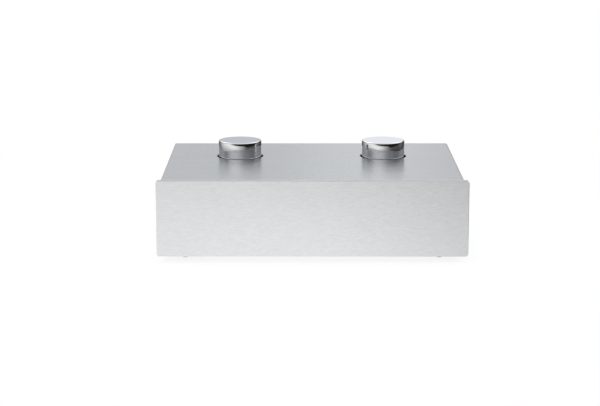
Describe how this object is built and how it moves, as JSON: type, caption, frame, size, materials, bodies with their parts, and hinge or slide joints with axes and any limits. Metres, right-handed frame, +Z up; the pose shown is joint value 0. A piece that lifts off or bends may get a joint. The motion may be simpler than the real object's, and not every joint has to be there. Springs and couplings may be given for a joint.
{
  "type": "moving coil step-up transformer",
  "caption": "Flat silver desktop audio box with a brushed front panel and round polished transformer cans standing up through the cover; phono and balanced sockets behind.",
  "frame": {"origin": "middle of the footprint, on the surface that the feet stand on", "axes": "+X to the right as seen from the front, +Y from the front panel to the rear sockets, +Z up"},
  "size_m": [0.206, 0.167, 0.0661],
  "materials": {
    "front_plate": "brushed",
    "case_sheet": "satin",
    "tray_sheet": "satin",
    "rear_sheet": "satin",
    "screw_steel": "satin",
    "foot_rubber": "matte",
    "board_laminate": "satin",
    "pillar_brass": "satin",
    "can_alloy": "polished",
    "core_strip": "satin",
    "former_plastic": "matte",
    "winding_copper": "satin",
    "base_plastic": "matte",
    "pin_gold": "polished",
    "pad_foam": "matte",
    "resistor_lacquer": "gloss",
    "socket_gold": "polished",
    "socket_block_plastic": "matte",
    "insulator_white": "gloss",
    "insulator_red": "gloss",
    "washer_fibre": "matte",
    "balanced_nickel": "satin",
    "balanced_insert_plastic": "matte",
    "switch_body_plastic": "satin",
    "switch_nickel": "polished",
    "post_steel": "satin"
  },
  "bodies": {
    "case": {"front_panel": "front_plate", "top_cover": "case_sheet", "base_tray": "tray_sheet", "rear_panel": "rear_sheet", "front_panel_screws": "screw_steel", "cover_screws": "screw_steel", "rear_panel_screws": "screw_steel", "board_screws": "screw_steel", "balanced_screws": "screw_steel", "foot_front_left": "foot_rubber", "foot_front_right": "foot_rubber", "foot_rear_left": "foot_rubber", "foot_rear_right": "foot_rubber", "circuit_board": "board_laminate", "board_standoffs": "pillar_brass", "transformer_can_left": "can_alloy", "transformer_can_right": "can_alloy", "transformer_core_left": "core_strip", "transformer_core_right": "core_strip", "coil_formers_left": "former_plastic", "coil_formers_right": "former_plastic", "primary_windings_left": "winding_copper", "primary_windings_right": "winding_copper", "secondary_windings_left": "winding_copper", "secondary_windings_right": "winding_copper", "transformer_base_left": "base_plastic", "transformer_base_right": "base_plastic", "transformer_pins_left": "pin_gold", "transformer_pins_right": "pin_gold", "socket_contacts": "pin_gold", "balanced_pins": "pin_gold", "ratio_switch_terminals": "pin_gold", "foam_pad_left": "pad_foam", "foam_pad_right": "pad_foam", "load_resistors": "resistor_lacquer", "input_socket_left": "socket_gold", "input_socket_right": "socket_gold", "output_socket_left": "socket_gold", "output_socket_right": "socket_gold", "socket_nuts": "socket_gold", "ground_post": "socket_gold", "socket_blocks": "socket_block_plastic", "socket_insulators_left": "insulator_white", "socket_insulators_right": "insulator_red", "socket_washers": "washer_fibre", "balanced_housing_left": "balanced_nickel", "balanced_housing_right": "balanced_nickel", "balanced_inserts": "balanced_insert_plastic", "ratio_switch_bodies": "switch_body_plastic", "ratio_switch_bushings": "switch_nickel", "ratio_switch_nuts": "switch_nickel", "lever_pivot_pins": "switch_nickel", "ground_post_nut": "post_steel"},
    "left_ratio_lever": {"ratio_lever_left": "switch_nickel"},
    "right_ratio_lever": {"ratio_lever_right": "switch_nickel"},
    "post_washer": {"ground_washer": "post_steel"},
    "thumb_nut": {"ground_thumb_nut": "socket_gold"}
  },
  "joints": [
    {"name": "left_ratio_switch", "type": "hinge", "parent": "case", "child": "left_ratio_lever", "pos_m": [-0.00984, 0.0689, 0.025], "axis": [1, 0, 0], "range_deg": [0, 25]},
    {"name": "right_ratio_switch", "type": "hinge", "parent": "case", "child": "right_ratio_lever", "pos_m": [0.00984, 0.0689, 0.025], "axis": [1, 0, 0], "range_deg": [0, 25]},
    {"name": "post_travel", "type": "slide", "parent": "case", "child": "post_washer", "axis": [0, 1, 0], "range_m": [0, 0.0042]},
    {"name": "post_nut_spin", "type": "hinge", "parent": "post_washer", "child": "thumb_nut", "pos_m": [0, 0.0684, 0.0413], "axis": [0, 1, 0], "range_deg": [0, 2160]}
  ],
  "couplings": [
    {"joint": "post_travel", "follows": "post_nut_spin", "m_per_rad": 0.00011141}
  ]
}
